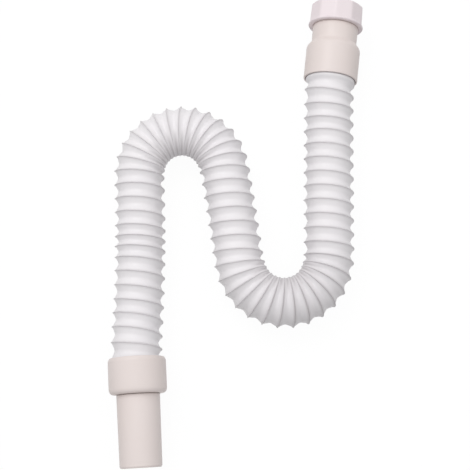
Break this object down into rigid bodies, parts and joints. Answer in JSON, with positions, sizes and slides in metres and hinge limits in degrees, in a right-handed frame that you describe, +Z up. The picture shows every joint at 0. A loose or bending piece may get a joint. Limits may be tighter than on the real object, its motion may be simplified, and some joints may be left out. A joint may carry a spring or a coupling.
{
  "type": "flexible sink trap",
  "caption": "White plastic sink trap: a corrugated flexible hose laid in an S, with a ten-sided union nut and washer at the inlet and a plain spigot at the outlet.",
  "frame": {"origin": "on the floor, at the centre of the box round the whole trap as it lies", "axes": "+Z up off the floor, +Y towards the inlet with the nut, +X towards the leg that carries the nut"},
  "size_m": [0.2508, 0.4608, 0.0552],
  "materials": {
    "hose_plastic": "satin",
    "fitting_plastic": "satin",
    "nut_plastic": "satin",
    "seal_rubber": "matte"
  },
  "bodies": {
    "trap": {"hose": "hose_plastic", "upper_connector": "fitting_plastic", "lower_connector": "fitting_plastic", "sealing_washer": "seal_rubber"},
    "nut": {"union_nut": "nut_plastic"}
  },
  "joints": [
    {"name": "union_nut_turn", "type": "hinge", "parent": "trap", "child": "nut", "pos_m": [0.09843, 0.21671, 0.0275], "axis": [0.1111, 0.9938, 0], "continuous": true}
  ]
}
